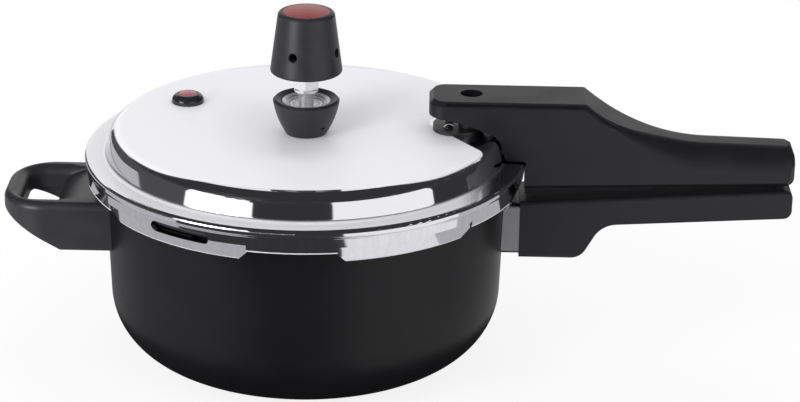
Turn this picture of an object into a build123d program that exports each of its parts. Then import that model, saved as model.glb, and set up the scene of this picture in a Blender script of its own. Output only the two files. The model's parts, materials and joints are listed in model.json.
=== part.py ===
from build123d import *
import os
from math import asin, cos, radians, sin, sqrt

# Stovetop pressure cooker: drafted pot, bayonet lid, weight valve, safety valve, long handle and helper handle.
# Sizes are in millimetres and angles in degrees.
# The origin is on the pot's axis at the underside of its base, +Z is up and +X runs along the long handle.
# Angles round the axis start at +X and go anticlockwise seen from above, so the front is at -90.

# Clearances
running_gap = 0.05  # between a shank or pin and its hole, all round
seat_gap = 0.1      # between a moulded handle and what it sits against
press_gap = 0.3     # between the lid's gasket and the pot's rim, before the lid is pressed down
turn_gap = 0.8      # between the pot's wall and the lugs that turn round it
lock_gap = 0.4      # between the pot's tabs and the lid's lugs
lid_cut_gap = 0.8   # between the lid and the handle that is cut to follow it
round_share = 0.9   # most of a wall that a round may take

# Pot
pot_height = 98.5
pot_rim_radius = 105.5
pot_foot_radius = 102.0
pot_corner_radius = 34.0
pot_wall = 3.0
pot_base = 4.0

# Bayonet
front_notch_angle = -90.6
front_notch_width = 22.6
notch_width = 18.0
slotted_lug_pitch = 65.0
lug_count = 6
turn_angle = 30.0  # from locked to free
tab_margin = 1.5   # angle left on each side of a tab in its notch
tab_drop = 1.0     # from the pot's rim to the top of its tabs
tab_thickness = 3.0
lug_lip = 3.0      # thickness of the lip that hooks under the tabs
lug_bend = 3.4     # from the skirt in to the foot of a lug
lug_end_cut = 4.5  # slanted corner at each end of a lug
slot_length = 34.5
slot_height = 6.0
slot_rise = 0.2    # middle of the slot above the crease
slot_angle = -120.5

# Lid
lid_sheet = 2.8
lid_bead_step = 1.0      # from the skirt out to the bead
lid_bead_height = 3.4
lid_bead_round = 1.5
skirt_room = 6.1         # from the pot's rim to the inside of the skirt
lid_flange_width = 9.8   # from the skirt in to the foot of the shoulder
lid_wall_lean = 3.4      # from the foot of the shoulder in to its top
lid_wall_height = 13.3
lid_shoulder_round = 6.0
lid_flange_round = 2.5
lid_hollow = 1.0         # middle of the lid's top below its shoulder
lid_dish_depth = 3.3
lid_dish_radius = 55.0
lid_dome_run_out = 10.0  # straight end of the dome before the shoulder
crease_drop = 9.1        # from the flange to the crease where the lugs bend in
notch_drop = 12.2        # from the flange to the edge of the skirt in a notch
gasket_height = 7.3
gasket_lip_depth = 4.0
gasket_lip_width = 1.8
gasket_bevel = 2.0
gasket_overhang = 0.6    # from the pot's inner edge out to the gasket

# Weight valve
valve_seat_radius = 13.0
cup_base_radius = 10.6
cup_rim_radius = 17.4
cup_height = 19.0
cup_bulge = 0.8
cup_hole_radius = 0.9
cup_hole_height = 5.5
cup_hole_angle = -168.0
cup_hole_count = 3
cup_rim_slope = 1.2
cup_rim_width = 4.4
dish_depth = 4.2
dish_ring_width = 3.2
dish_sheet = 1.0
stem_radius = 4.0
stem_bore_radius = 1.2
stem_neck_height = 4.5  # round part above the dish
stem_cone_foot = 4.3    # radius where the hexagon tapers into the neck
stem_hex = 12.4         # across the flats
stem_hex_turn = 30.0    # puts a corner of the hexagon in front
stem_cone_height = 3.8
stem_groove_height = 0.8
stem_groove_depth = 0.9
stem_rise = 32.8        # from the valve's seat to the face that the weight rests on
stem_pin_radius = 3.0
stem_pin_length = 9.0
stem_pin_bevel = 0.75
stem_tail = 1.5         # stem that shows below its nut
vent_seal_radius = 9.0
vent_seal_thickness = 1.5
vent_nut_hex = 15.0
vent_nut_height = 5.0

# Weight
weight_neck_radius = 5.2
weight_neck_drop = 0.7  # from the cap's foot down to the face that rests on the stem
weight_foot_radius = 18.9
weight_top_radius = 14.6
weight_height = 32.5
weight_top_round = 2.1
weight_foot_round = 1.2
weight_mouth_rim = 3.3
weight_mouth_depth = 4.0
core_wall = 3.0         # cap left round the core at its top
core_crown = 4.0        # cap left above the core
core_groove_radius = 8.5
core_groove_height = 7.0
core_bore_depth = 17.0
weight_vent_radius = 2.4
weight_vent_height = 12.3
weight_vent_angle = -111.0
weight_vent_count = 4
badge_rim = 2.5
badge_depth = 1.5
badge_crown = 0.7

# Safety valve
safety_distance = 72.5
safety_angle = 153.5
safety_radius = 8.5
safety_height = 4.6
safety_round = 3.3
safety_shank_radius = 6.6
safety_shank_drop = 6.5
safety_plug_radius = 4.7
safety_plug_depth = 2.2
safety_plug_crown = 0.7
safety_stem_radius = 2.4
safety_foot_radius = 3.8
safety_foot_thickness = 1.5
safety_travel = 4.0
safety_stop_gap = 0.3  # left below the housing when the plug is up
safety_nut_hex = 17.0
safety_nut_height = 3.5
spot_face_margin = 0.4

# Lid handle
grip_reach = 149.6        # from the pot's wall to the end of both grips
handle_width = 32.0
handle_bevel = 2.4
step_depth = 1.7          # of the step along each top edge
step_width = 2.4
step_run_out = 45.0       # along the grip
step_blend = 88.0
nose_overlap = 37.2       # from the lid's shoulder in to the tip of the nose
nose_round = 9.0
nose_top_rise = 18.8      # above the lid's shoulder, like the other rises
nose_floor_rise = 10.3
nose_step_overlap = 20.2
nose_step_rise = 7.8
nose_root_overlap = 2.2
nose_root_rise = 0.6
slope_start_reach = 43.8  # out from the lid's shoulder
slope_foot_reach = 73.3
slope_blend = 100.0
grip_root_drop = 5.4      # below the lid's shoulder
grip_end_drop = 7.4
grip_end_gap = 2.2        # between the two grips at their ends
grip_root_gap = 6.6       # between the two grips at the pot
grip_end_round = 4.5
rib_width = 16.0          # of the rib below the lid handle, which closes the gap between the grips
rib_gap = 2.0             # between the rib and the lower grip
rib_inset = 20.0          # from the rib to the end of the grip

# Bracket and screw under the nose
screw_overlap = 15.3
screw_well_room = 1.2
screw_well_depth = 8.0
screw_head_radius = 4.6
screw_head_height = 3.0
screw_radius = 2.5
screw_slot_width = 1.2
screw_slot_depth = 1.2
screw_depth = 4.5  # screw in the bracket's boss
bracket_sheet = 1.6
bracket_width = 26.0
bracket_corner = 11.0
bracket_overlap = 35.0
bracket_end_overlap = 9.7
bracket_boss_radius = 6.5
bracket_boss_rise = 7.8
bracket_rivet_overlap = 26.7
bracket_rivet_spacing = 8.4
rivet_radius = 1.8
rivet_head_radius = 2.8
rivet_head_height = 1.5

# Pot handle
collar_length = 7.9        # out from the pot's wall, like the other lengths here
collar_foot_margin = 6.5   # below the bracket's plate
collar_head_margin = 2.5
collar_side_margin = 3.5
collar_sheet = 1.2
block_foot_lip = 1.9       # below the collar
block_length = 40.4
block_round = 9.0
pot_grip_start = 50.9
pot_grip_root_drop = 24.2  # below the pot's rim
pot_grip_blend = 14.0
pot_grip_end_drop = 18.2
pot_grip_top_drop = 2.3
block_head_lip = 1.3       # above the collar
pot_grip_bevel = 2.0

# Brackets on the pot's wall, one for each of its handles
plate_thickness = 2.5
plate_width = 24.0
plate_floor_drop = 34.5  # below the pot's rim
plate_top_drop = 15.5
tongue_width = 16.0
tongue_thickness = 3.0
tongue_length = 29.4
wall_rivet_spread = 12.0
wall_rivet_radius = 1.8
wall_rivet_head_radius = 3.2
wall_rivet_head_height = 1.8
pot_screw_distance = 19.4
pot_screw_recess = 6.0

# Helper handle
helper_length = 53.4
helper_width = 64.0
helper_head_margin = 4.0  # above the bracket's plate
helper_foot_margin = 2.5  # below the bracket's plate
helper_heel_length = 21.9
helper_tip_drop = 19.5    # below the pot's rim
helper_corner_radius = 24.0
helper_edge_round = 4.0
helper_hole_end = 43.4
helper_web_length = 11.4
helper_web_foot_length = 25.4
helper_hole_width = 42.0
helper_hole_round = 8.0
helper_tongue_length = 15.4
helper_screw_distance = 10.9

# Heights that follow from the stack of pot, gasket and lid
tab_top = pot_height - tab_drop
tab_bottom = tab_top - tab_thickness
flange_top = pot_height + press_gap + gasket_height + lid_sheet
shoulder_height = flange_top + lid_wall_height
valve_seat = shoulder_height - lid_hollow - lid_dish_depth
crease = flange_top - crease_drop
notch_edge = flange_top - notch_drop
lip_top = tab_bottom - lock_gap
lug_bottom = lip_top - lug_lip
cup_rim = valve_seat + cup_height
dish_floor = cup_rim - dish_depth
stem_rest = valve_seat + stem_rise
weight_foot = stem_rest + weight_neck_drop
weight_top = weight_foot + weight_height
nose_top = shoulder_height + nose_top_rise
nose_floor = shoulder_height + nose_floor_rise
nose_step_height = shoulder_height + nose_step_rise
nose_root_height = shoulder_height + nose_root_rise
bracket_boss_height = shoulder_height + bracket_boss_rise
grip_top_root = shoulder_height - grip_root_drop
grip_top_end = shoulder_height - grip_end_drop
plate_floor = pot_height - plate_floor_drop
plate_top = pot_height - plate_top_drop
tongue_middle = (plate_floor + plate_top) / 2
tongue_low = tongue_middle - tongue_thickness / 2
tongue_high = tongue_middle + tongue_thickness / 2
collar_floor = plate_floor - collar_foot_margin
collar_top = plate_top + collar_head_margin
block_floor = collar_floor - block_foot_lip
pot_grip_root_floor = pot_height - pot_grip_root_drop
pot_grip_end_floor = pot_height - pot_grip_end_drop
pot_grip_end_top = pot_height - pot_grip_top_drop
pot_grip_root_top = collar_top + block_head_lip
grip_floor_end = pot_grip_end_top + grip_end_gap
grip_floor_root = pot_grip_root_top + grip_root_gap
helper_top = plate_top + helper_head_margin
helper_floor = plate_floor - helper_foot_margin
helper_tip_floor = pot_height - helper_tip_drop

# Radii that follow from the pot's rim, the cup's rim and the weight
skirt_inside = pot_rim_radius + skirt_room
lid_skirt_radius = skirt_inside + lid_sheet
lid_bead_radius = lid_skirt_radius + lid_bead_step
lug_foot_radius = lid_skirt_radius - lug_bend
lid_wall_foot_radius = lid_skirt_radius - lid_flange_width
lid_shoulder_radius = lid_wall_foot_radius - lid_wall_lean
dish_radius = cup_rim_radius - cup_rim_width
weight_mouth_radius = weight_foot_radius - weight_mouth_rim
core_radius = weight_top_radius - core_wall
badge_radius = weight_top_radius - badge_rim
screw_well_radius = screw_head_radius + screw_well_room
collar_width = plate_width + 2 * collar_side_margin


def pot_radius(z):
    """Outside radius of the drafted pot wall at height z."""
    return pot_foot_radius + (pot_rim_radius - pot_foot_radius) * z / pot_height


# Places along the handles, from the pot's wall at the brackets and from the lid's shoulder
handle_wall = pot_radius(tongue_middle)
handle_end = handle_wall + grip_reach
collar_end = handle_wall + collar_length
block_end = handle_wall + block_length
pot_grip_root_x = handle_wall + pot_grip_start
tongue_end = handle_wall + tongue_length
pot_screw_x = handle_wall + pot_screw_distance
helper_end = handle_wall + helper_length
helper_heel = handle_wall + helper_heel_length
helper_inner_end = handle_wall + helper_hole_end
helper_web_top = handle_wall + helper_web_length
helper_web_floor = handle_wall + helper_web_foot_length
helper_tongue_end = handle_wall + helper_tongue_length
helper_screw_x = handle_wall + helper_screw_distance
nose_start = lid_shoulder_radius - nose_overlap
nose_step_x = lid_shoulder_radius - nose_step_overlap
nose_root_x = lid_shoulder_radius - nose_root_overlap
slope_start = lid_shoulder_radius + slope_start_reach
slope_foot = lid_shoulder_radius + slope_foot_reach
screw_x = lid_shoulder_radius - screw_overlap
bracket_start = lid_shoulder_radius - bracket_overlap
bracket_end = lid_shoulder_radius - bracket_end_overlap
bracket_rivet_x = lid_shoulder_radius - bracket_rivet_overlap


def dome_height(r):
    """Top face of the hollow lid at distance r from the axis, outside the dish round the valve."""
    return shoulder_height - lid_hollow * (1 - (r / lid_shoulder_radius) ** 2)


def dome_slope(r):
    """Slope of the lid's top face at distance r from the axis."""
    return 2 * lid_hollow * r / lid_shoulder_radius ** 2


def lug_outside(z):
    """Outside radius of a lug at height z, below the crease."""
    share = (crease - z) / (crease - lug_bottom)
    return lid_skirt_radius + (lug_foot_radius - lid_skirt_radius) * share


def notches():
    """Middle and width of each of the lid's notches, clockwise from the front one."""
    pitch = (360 - slotted_lug_pitch) / (lug_count - 1)
    others = [front_notch_angle - slotted_lug_pitch - i * pitch for i in range(lug_count - 1)]
    return [(front_notch_angle, front_notch_width)] + [(angle, notch_width) for angle in others]


def turned(profile, width=360.0, middle=180.0):
    """Solid of a profile in radius and height, turned through width and centred on middle."""
    return Rot(0, 0, middle - width / 2) * revolve(Plane.XZ * profile, Axis.Z, width)


def outline(*points):
    """Face inside straight lines through the points."""
    return make_face(Polyline(*points, close=True))


def slab(profile, width):
    """Solid of a profile in X and Z, width wide and centred on Y."""
    return extrude(Plane.XZ * profile, width / 2, both=True)


def rod(radius, low, high, x=0.0, y=0.0):
    """Upright cylinder between two heights."""
    return Pos(x, y, (low + high) / 2) * Cylinder(radius, high - low)


def hexagon(flats, low, high, x=0.0, y=0.0):
    """Upright hexagonal bar between two heights."""
    face = RegularPolygon(flats / 2, 6, major_radius=False)
    return Pos(x, y, low) * extrude(face, high - low)


def block(low, high):
    """Box between two corners."""
    size = [b - a for a, b in zip(low, high)]
    middle = [(a + b) / 2 for a, b in zip(low, high)]
    return Pos(*middle) * Box(*size)


def cap_arc(radius, low, height):
    """Half section of a spherical cap, from its edge at radius and low up to the axis."""
    sphere = (radius ** 2 + height ** 2) / (2 * height)
    half = asin(radius / sphere) / 2
    middle = (sphere * sin(half), low + height - sphere * (1 - cos(half)))
    return ThreePointArc((radius, low), middle, (0, low + height))


def dome_head(radius, height):
    """Rivet head: a low rounded cap standing on the XY plane."""
    base = Line((0, 0), (radius, 0))
    return turned(make_face([base, cap_arc(radius, 0, height), Line((0, height), (0, 0))]))


def lid_line(inset, edge, edge_rounds):
    """Half section of the lid from the axis out to edge, moved inwards by inset."""
    seat = Line((0, valve_seat - inset), (valve_seat_radius, valve_seat - inset))
    dome_end = lid_shoulder_radius - lid_dome_run_out
    radii = [lid_dish_radius, (lid_dish_radius + dome_end) / 2, dome_end]
    points = [(r, dome_height(r) - inset) for r in radii]
    dish = Spline(seat @ 1, points[0], tangents=[(1, 0), (1, dome_slope(lid_dish_radius))])
    dome = ThreePointArc(*points)
    shoulder = (lid_shoulder_radius - inset, shoulder_height - inset)
    foot = (lid_wall_foot_radius - inset, flange_top - inset)
    rounds = [lid_shoulder_round - inset, lid_flange_round, *edge_rounds]
    return [seat, dish, dome, FilletPolyline(points[2], shoulder, foot, *edge, radius=rounds)]


def lid_envelope(outset, floor):
    """Everything inside the lid's outer face, moved outwards by outset, down to floor."""
    bead, skirt = lid_bead_radius + outset, lid_skirt_radius + outset
    bead_foot = flange_top - lid_bead_height - outset
    edge = [
        (bead, flange_top + outset), (bead, bead_foot), (skirt, bead_foot - lid_bead_step), (skirt, floor),
    ]
    line = lid_line(-outset, edge, [lid_bead_round, lid_bead_step, lid_bead_step])
    closing = Polyline((skirt, floor), (0, floor), line[0] @ 0)
    return turned(make_face([*line, closing]))


def pot_envelope(outset):
    """Everything inside the pot's drafted wall, moved outwards by outset."""
    foot, rim = pot_foot_radius + outset, pot_rim_radius + outset
    return turned(outline((0, 0), (foot, 0), (rim, pot_height), (0, pot_height)))


def make_pot_body():
    """Deep drawn pot with a rounded foot, and tabs round the rim that the lid locks under."""
    foot, rim = pot_foot_radius - pot_wall, pot_rim_radius - pot_wall
    outer = FilletPolyline(
        (0, 0), (pot_foot_radius, 0), (pot_rim_radius, pot_height), radius=pot_corner_radius
    )
    inner = FilletPolyline(
        (rim, pot_height), (foot, pot_base), (0, pot_base), radius=pot_corner_radius - pot_wall
    )
    body = turned(make_face([outer, Line(outer @ 1, inner @ 0), inner, Line(inner @ 1, outer @ 0)]))
    root = pot_radius(tab_bottom) - pot_wall / 2
    tab_radius = lug_outside(tab_bottom) - lid_sheet - lock_gap
    tab = outline((root, tab_bottom), (tab_radius, tab_bottom), (tab_radius, tab_top), (root, tab_top))
    tab_width = min(notch_width, front_notch_width) - 2 * tab_margin
    for angle, _ in notches():
        body += turned(tab, tab_width, angle + turn_angle)
    for facing in (0, 180):
        for z in wall_rivet_heights():
            body -= Rot(0, 0, facing) * wall_rivet_shank(z, running_gap)
    return body


def plate_face():
    """Distance from the axis to the flat outer face of a bracket's plate."""
    return pot_radius(plate_top) + plate_thickness


def wall_rivet_heights():
    """Heights of the two rivets of a bracket, below and above its tongue."""
    return [tongue_middle + way * wall_rivet_spread / 2 for way in (-1, 1)]


def wall_rivet_shank(z, gap):
    """Level shank through the pot's wall and a bracket's plate, on the +X side."""
    low = pot_radius(z) - 2 * pot_wall
    high = plate_face() + gap
    return Pos((low + high) / 2, 0, z) * Rot(0, 90, 0) * Cylinder(wall_rivet_radius + gap, high - low)


def make_wall_rivets(facing, pot_body):
    """Two rivets with rounded heads inside the pot and on the bracket's plate."""
    head = dome_head(wall_rivet_head_radius, wall_rivet_head_height)
    inner_head = head + rod(wall_rivet_head_radius, -pot_wall / 2, 0)
    rivets = []
    for z in wall_rivet_heights():
        inside = pot_radius(z - wall_rivet_head_radius) - pot_wall
        low, high = inside - wall_rivet_head_height / 2, plate_face()
        shank = Pos((low + high) / 2, 0, z) * Rot(0, 90, 0) * Cylinder(wall_rivet_radius, high - low)
        rivet = shank + Pos(inside, 0, z) * Rot(0, -90, 0) * inner_head
        rivet += Pos(high, 0, z) * Rot(0, 90, 0) * head
        rivets.append(Rot(0, 0, facing) * rivet - pot_body)
    return rivets


def make_wall_bracket(facing, end, screw_at):
    """Plate against the pot's wall with a tongue that runs out into a handle."""
    inside = pot_radius(plate_floor) - pot_wall
    half, tongue_half = plate_width / 2, tongue_width / 2
    bracket = block((inside, -half, plate_floor), (plate_face(), half, plate_top))
    bracket += block((inside, -tongue_half, tongue_low), (end, tongue_half, tongue_high))
    bracket -= pot_envelope(0)
    bracket -= rod(screw_radius + running_gap, tongue_low, tongue_high, screw_at)
    for z in wall_rivet_heights():
        bracket -= wall_rivet_shank(z, running_gap)
    return Rot(0, 0, facing) * bracket


def bracket_pocket(end, screw_at, floor):
    """Room in a moulded handle for a bracket and for the screw that comes up from below."""
    inside = pot_radius(plate_floor) - pot_wall
    half, tongue_half = plate_width / 2 + seat_gap, tongue_width / 2 + seat_gap
    face = plate_face() + wall_rivet_head_height + seat_gap
    pocket = block((inside, -half, plate_floor - seat_gap), (face, half, plate_top + seat_gap))
    low, high = tongue_low - seat_gap, tongue_high + seat_gap
    pocket += block((inside, -tongue_half, low), (end + seat_gap, tongue_half, high))
    pocket += rod(screw_radius + running_gap, floor, tongue_high + 2 * tongue_thickness, screw_at)
    return pocket + rod(screw_head_radius + seat_gap, floor - pot_wall, floor + pot_screw_recess, screw_at)


def make_tongue_screw(facing, screw_at, floor):
    """Slotted screw, head down, from a handle's underside up through its bracket's tongue."""
    seat = floor + pot_screw_recess
    screw = rod(screw_radius, seat, tongue_high + tongue_thickness, screw_at)
    screw += rod(screw_head_radius, seat - screw_head_height, seat, screw_at)
    slot = Box(3 * screw_head_radius, screw_slot_width, 2 * screw_slot_depth)
    return Rot(0, 0, facing) * (screw - Pos(screw_at, 0, seat - screw_head_height) * slot)


def make_collar():
    """Sheet metal sleeve between the pot's wall and its long handle."""
    half, start = collar_width / 2, pot_radius(collar_floor) - pot_wall
    sleeve = block((start, -half, collar_floor), (collar_end, half, collar_top))
    sleeve = fillet(sleeve.edges().filter_by(Axis.X), 2 * collar_sheet)
    half -= collar_sheet
    low, high = collar_floor + collar_sheet, collar_top - collar_sheet
    inside = block((start, -half, low), (collar_end, half, high))
    inside = fillet(inside.edges().filter_by(Axis.X), collar_sheet)
    return sleeve - inside - pot_envelope(seat_gap)


def long_edges(shape, width, curve):
    """Edges of a slab of the given width that run beside the pieces of a curve in X and Z."""
    found = []
    for edge in shape.edges():
        middle = edge @ 0.5
        flat = Vector(middle.X, middle.Z)
        beside = any((flat - piece @ 0.5).length < seat_gap for piece in curve.edges())
        if beside and abs(abs(middle.Y) - width / 2) < seat_gap:
            found.append(edge)
    return found


def make_pot_handle():
    """Lower half of the long handle: a deep block at the pot that sweeps up into the grip."""
    line = FilletPolyline(
        (collar_end, block_floor), (block_end, block_floor), (pot_grip_root_x, pot_grip_root_floor),
        (handle_end, pot_grip_end_floor), (handle_end, pot_grip_end_top), (collar_end, pot_grip_root_top),
        radius=[block_round, pot_grip_blend, grip_end_round, grip_end_round],
    )
    handle = slab(make_face([line, Line(line @ 1, line @ 0)]), handle_width)
    handle = fillet(long_edges(handle, handle_width, line), pot_grip_bevel)
    return handle - bracket_pocket(tongue_end, pot_screw_x, block_floor)


def make_helper_handle():
    """Loop handle opposite the long one, with a finger hole and a slanted web at the pot."""
    start = pot_radius(helper_floor) - 2 * pot_wall
    side = outline(
        (start, helper_floor), (helper_heel, helper_floor), (helper_end, helper_tip_floor),
        (helper_end, helper_top), (start, helper_top),
    )
    plan = block((start, -helper_width / 2, helper_floor), (helper_end, helper_width / 2, helper_top))
    tips = plan.edges().filter_by(Axis.Z).group_by(Axis.X)[-1]
    handle = fillet(tips, helper_corner_radius) & slab(side, helper_width)
    handle = fillet(handle.faces().sort_by(Axis.Z)[-1].edges().sort_by(Axis.X)[1:], helper_edge_round)
    low, high = helper_floor - pot_wall, helper_top + pot_wall
    hole = slab(outline(
        (helper_web_floor, low), (helper_inner_end, low), (helper_inner_end, high), (helper_web_top, high)
    ), helper_hole_width)
    tips = hole.edges().filter_by(Axis.Z).group_by(Axis.X)[-1]
    handle -= fillet(tips, helper_hole_round)
    handle -= pot_envelope(seat_gap)
    return Rot(0, 0, 180) * (handle - bracket_pocket(helper_tongue_end, helper_screw_x, helper_floor))


def make_lid_shell():
    """Pressed lid: dished crown, shoulder, flange with a bead, and a skirt with lugs and notches."""
    bead_foot = flange_top - lid_bead_height
    edge = [
        (lid_bead_radius, flange_top), (lid_bead_radius, bead_foot),
        (lid_skirt_radius, bead_foot - lid_bead_step), (lid_skirt_radius, crease),
    ]
    outer = lid_line(0, edge, [lid_bead_round, lid_bead_step, lid_bead_step])
    inner_edge = [(skirt_inside, flange_top - lid_sheet), (skirt_inside, crease)]
    inner = lid_line(lid_sheet, inner_edge, [lid_bead_round])
    ends = [Line((skirt_inside, crease), (lid_skirt_radius, crease)), Line(inner[0] @ 0, outer[0] @ 0)]
    lid = turned(make_face([*outer, *inner, *ends]))
    notch = outline(
        (skirt_inside, notch_edge), (lid_skirt_radius, notch_edge),
        (lid_skirt_radius, crease), (skirt_inside, crease),
    )
    places = notches()
    last = (places[-1][0] + 360, places[-1][1])
    for (angle, width), (after, after_width) in zip(places, [last] + places[:-1]):
        lid += turned(notch, width, angle)
        low, high = angle + width / 2, after - after_width / 2
        lid += make_lug(high - low, (low + high) / 2)
    slot = extrude(Plane.YZ * SlotOverall(slot_length, slot_height), 2 * pot_wall, both=True)
    lid -= Rot(0, 0, slot_angle) * Pos(lid_skirt_radius, 0, crease + slot_rise) * slot
    lid -= rod(stem_radius + running_gap, valve_seat - 2 * lid_sheet, valve_seat + lid_sheet)
    x, y = safety_place()
    lid -= rod(safety_radius + spot_face_margin, safety_spot(), safety_spot() + lid_sheet, x, y)
    lid -= rod(safety_shank_radius + running_gap, safety_spot() - 2 * lid_sheet, safety_spot(), x, y)
    for y in bracket_rivet_sides():
        lid -= rod(rivet_radius + running_gap, valve_seat - 2 * lid_sheet, nose_top, bracket_rivet_x, y)
    return lid


def make_lug(width, middle):
    """Stretch of skirt that bends in below the crease and ends in a lip under the pot's tabs."""
    tip = pot_radius(lip_top) + turn_gap
    inner_foot = lug_outside(lip_top) - lid_sheet
    lug = turned(outline(
        (lid_skirt_radius, crease), (lug_foot_radius, lug_bottom), (tip, lug_bottom),
        (tip, lip_top), (inner_foot, lip_top), (skirt_inside, crease),
    ), width, 0)
    corner = Rot(45, 0, 0) * Box(4 * lid_sheet, lug_end_cut * sqrt(2), lug_end_cut * sqrt(2))
    for side in (-1, 1):
        lug -= Rot(0, 0, side * width / 2) * Pos(lug_foot_radius, 0, lug_bottom) * corner
    return Rot(0, 0, middle) * lug


def make_lid_gasket():
    """Sealing ring in the lid's rim, with a lip that opens towards the pressure."""
    inside = pot_rim_radius - pot_wall + gasket_overhang
    outside = skirt_inside - seat_gap
    low = pot_height + press_gap
    high = flange_top - lid_sheet
    middle = (low + high) / 2
    return turned(outline(
        (inside, low), (outside - gasket_bevel, low), (outside, low + gasket_bevel),
        (outside, high - gasket_bevel), (outside - gasket_bevel, high),
        (lid_wall_foot_radius + lid_flange_round, high), (inside, middle + gasket_lip_width),
        (inside + gasket_lip_depth, middle), (inside, middle - gasket_lip_width / 2),
    ))


def bracket_rivet_sides():
    return [-bracket_rivet_spacing / 2, bracket_rivet_spacing / 2]


def bracket_top():
    """Flat top of the bracket's plate on the lid."""
    return max(dome_height(bracket_start), dome_height(bracket_end)) + bracket_sheet


def make_lid_bracket():
    """Plate riveted to the lid, with a threaded boss that the handle's nose stands on."""
    half = bracket_width / 2
    bracket = block((bracket_start, -half, valve_seat), (bracket_end, half, bracket_top()))
    bracket = fillet(bracket.edges().filter_by(Axis.Z), bracket_corner)
    bracket += rod(bracket_boss_radius, valve_seat, bracket_boss_height, screw_x)
    bracket -= lid_envelope(running_gap, notch_edge)
    bracket -= rod(screw_radius + running_gap, valve_seat, bracket_boss_height, screw_x)
    for y in bracket_rivet_sides():
        bracket -= rod(rivet_radius + running_gap, valve_seat, bracket_top(), bracket_rivet_x, y)
    return bracket


def make_lid_rivets(lid):
    """Rivets that hold the bracket to the lid, with a rounded head above and a flat one below."""
    under = dome_height(bracket_rivet_x) - lid_sheet
    rivets = []
    for y in bracket_rivet_sides():
        rivet = rod(rivet_radius, under - rivet_head_height, bracket_top(), bracket_rivet_x, y)
        rivet += rod(rivet_head_radius, under - rivet_head_height, under + lid_sheet / 4, bracket_rivet_x, y)
        rivet += Pos(bracket_rivet_x, y, bracket_top()) * dome_head(rivet_head_radius, rivet_head_height)
        rivets.append(rivet - lid)
    return rivets


def top_steps():
    """Cuts that leave a step along both top edges, from behind the nose's tip until it dies out on the grip."""
    start, end = nose_start + nose_round, slope_foot + step_run_out
    low = FilletPolyline(
        (start, nose_top - step_depth), (slope_start, nose_top - step_depth),
        (slope_foot, grip_top_root - step_depth), (end, grip_top_root),
        radius=[handle_bevel, step_blend],
    )
    high = nose_top + step_depth
    rest = Polyline((end, grip_top_root), (end, high), (start, high), (start, nose_top - step_depth))
    cut = slab(make_face([low, rest]), 2 * step_width)
    return [Pos(0, way * handle_width / 2, 0) * cut for way in (-1, 1)]


def grip_rib():
    """Rib below the lid handle, parallel to the top of the lower grip."""
    start, end = nose_root_x, handle_end - rib_inset
    slope = (pot_grip_end_top - pot_grip_root_top) / (handle_end - collar_end)
    low = [(x, pot_grip_root_top + slope * (x - collar_end) + rib_gap) for x in (start, end)]
    high = [(end, grip_floor_end + handle_bevel), (start, grip_floor_root + handle_bevel)]
    return slab(outline(*low, *high), rib_width)


def make_lid_handle():
    """Upper half of the long handle: a nose over the lid, a sloping neck and the grip, with a rib below."""
    over = FilletPolyline(
        (nose_start, nose_top), (slope_start, nose_top), (slope_foot, grip_top_root),
        (handle_end, grip_top_end), (handle_end, grip_floor_end), (nose_root_x, grip_floor_root),
        radius=[handle_bevel, slope_blend, grip_end_round, grip_end_round],
    )
    under = Polyline(
        (nose_root_x, grip_floor_root), (nose_root_x, nose_root_height), (nose_step_x, nose_step_height),
        (nose_start, nose_floor), (nose_start, nose_top),
    )
    handle = slab(make_face([over, under]), handle_width)
    handle = fillet(handle.edges().filter_by(Axis.Z).group_by(Axis.X)[0], nose_round)
    front = handle.faces().sort_by(Axis.Z)[-1].edges().sort_by(Axis.X)[:3]
    handle = chamfer(long_edges(handle, handle_width, over)[:] + front, handle_bevel)
    handle -= top_steps()
    handle += grip_rib()
    handle -= lid_envelope(lid_cut_gap, pot_grip_root_top)
    seat = nose_top - screw_well_depth
    handle -= rod(screw_well_radius, seat, nose_top, screw_x)
    handle -= rod(screw_radius + running_gap, bracket_boss_height, seat, screw_x)
    handle -= rod(bracket_boss_radius + seat_gap, valve_seat, bracket_boss_height, screw_x)
    return handle


def make_lid_screw():
    """Slotted screw in the well of the nose."""
    seat = nose_top - screw_well_depth
    screw = rod(screw_radius, bracket_boss_height - screw_depth, seat, screw_x)
    screw += rod(screw_head_radius, seat, seat + screw_head_height, screw_x)
    slot = Box(3 * screw_head_radius, screw_slot_width, 2 * screw_slot_depth)
    return screw - Pos(screw_x, 0, seat + screw_head_height) * slot


def make_valve_cup():
    """Moulded bowl round the vent, with a pocket for the metal dish and drain holes low on its side."""
    hole = stem_radius + running_gap
    pocket = dish_radius + seat_gap
    low, high = (cup_base_radius, valve_seat), (cup_rim_radius, cup_rim - cup_rim_slope)
    middle = ((low[0] + high[0]) / 2 + cup_bulge, (low[1] + high[1]) / 2 - cup_bulge)
    side = ThreePointArc(low, middle, high)
    rest = Polyline(
        high, (cup_rim_radius - cup_rim_slope, cup_rim), (pocket, cup_rim - cup_rim_slope),
        (pocket, dish_floor), (hole, dish_floor), (hole, valve_seat), low,
    )
    cup = turned(make_face([side, rest]))
    drain = Rot(0, 90, 0) * Cylinder(cup_hole_radius, cup_rim_radius)
    for i in range(cup_hole_count):
        angle = cup_hole_angle + i * 360 / cup_hole_count
        cup -= Rot(0, 0, angle) * Pos(cup_rim_radius, 0, valve_seat + cup_hole_height) * drain
    return cup


def make_valve_dish():
    """Polished dish in the cup: a raised ring round a shallow bowl."""
    hole = stem_radius + running_gap
    ring = dish_radius - dish_ring_width
    top = cup_rim - cup_rim_slope
    return turned(outline(
        (hole, dish_floor), (dish_radius, dish_floor), (dish_radius, top - dish_sheet / 2),
        (dish_radius - dish_sheet / 2, top), (ring, top - dish_sheet),
        (ring - dish_sheet, dish_floor + dish_sheet), (hole, dish_floor + dish_sheet),
    ))


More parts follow.
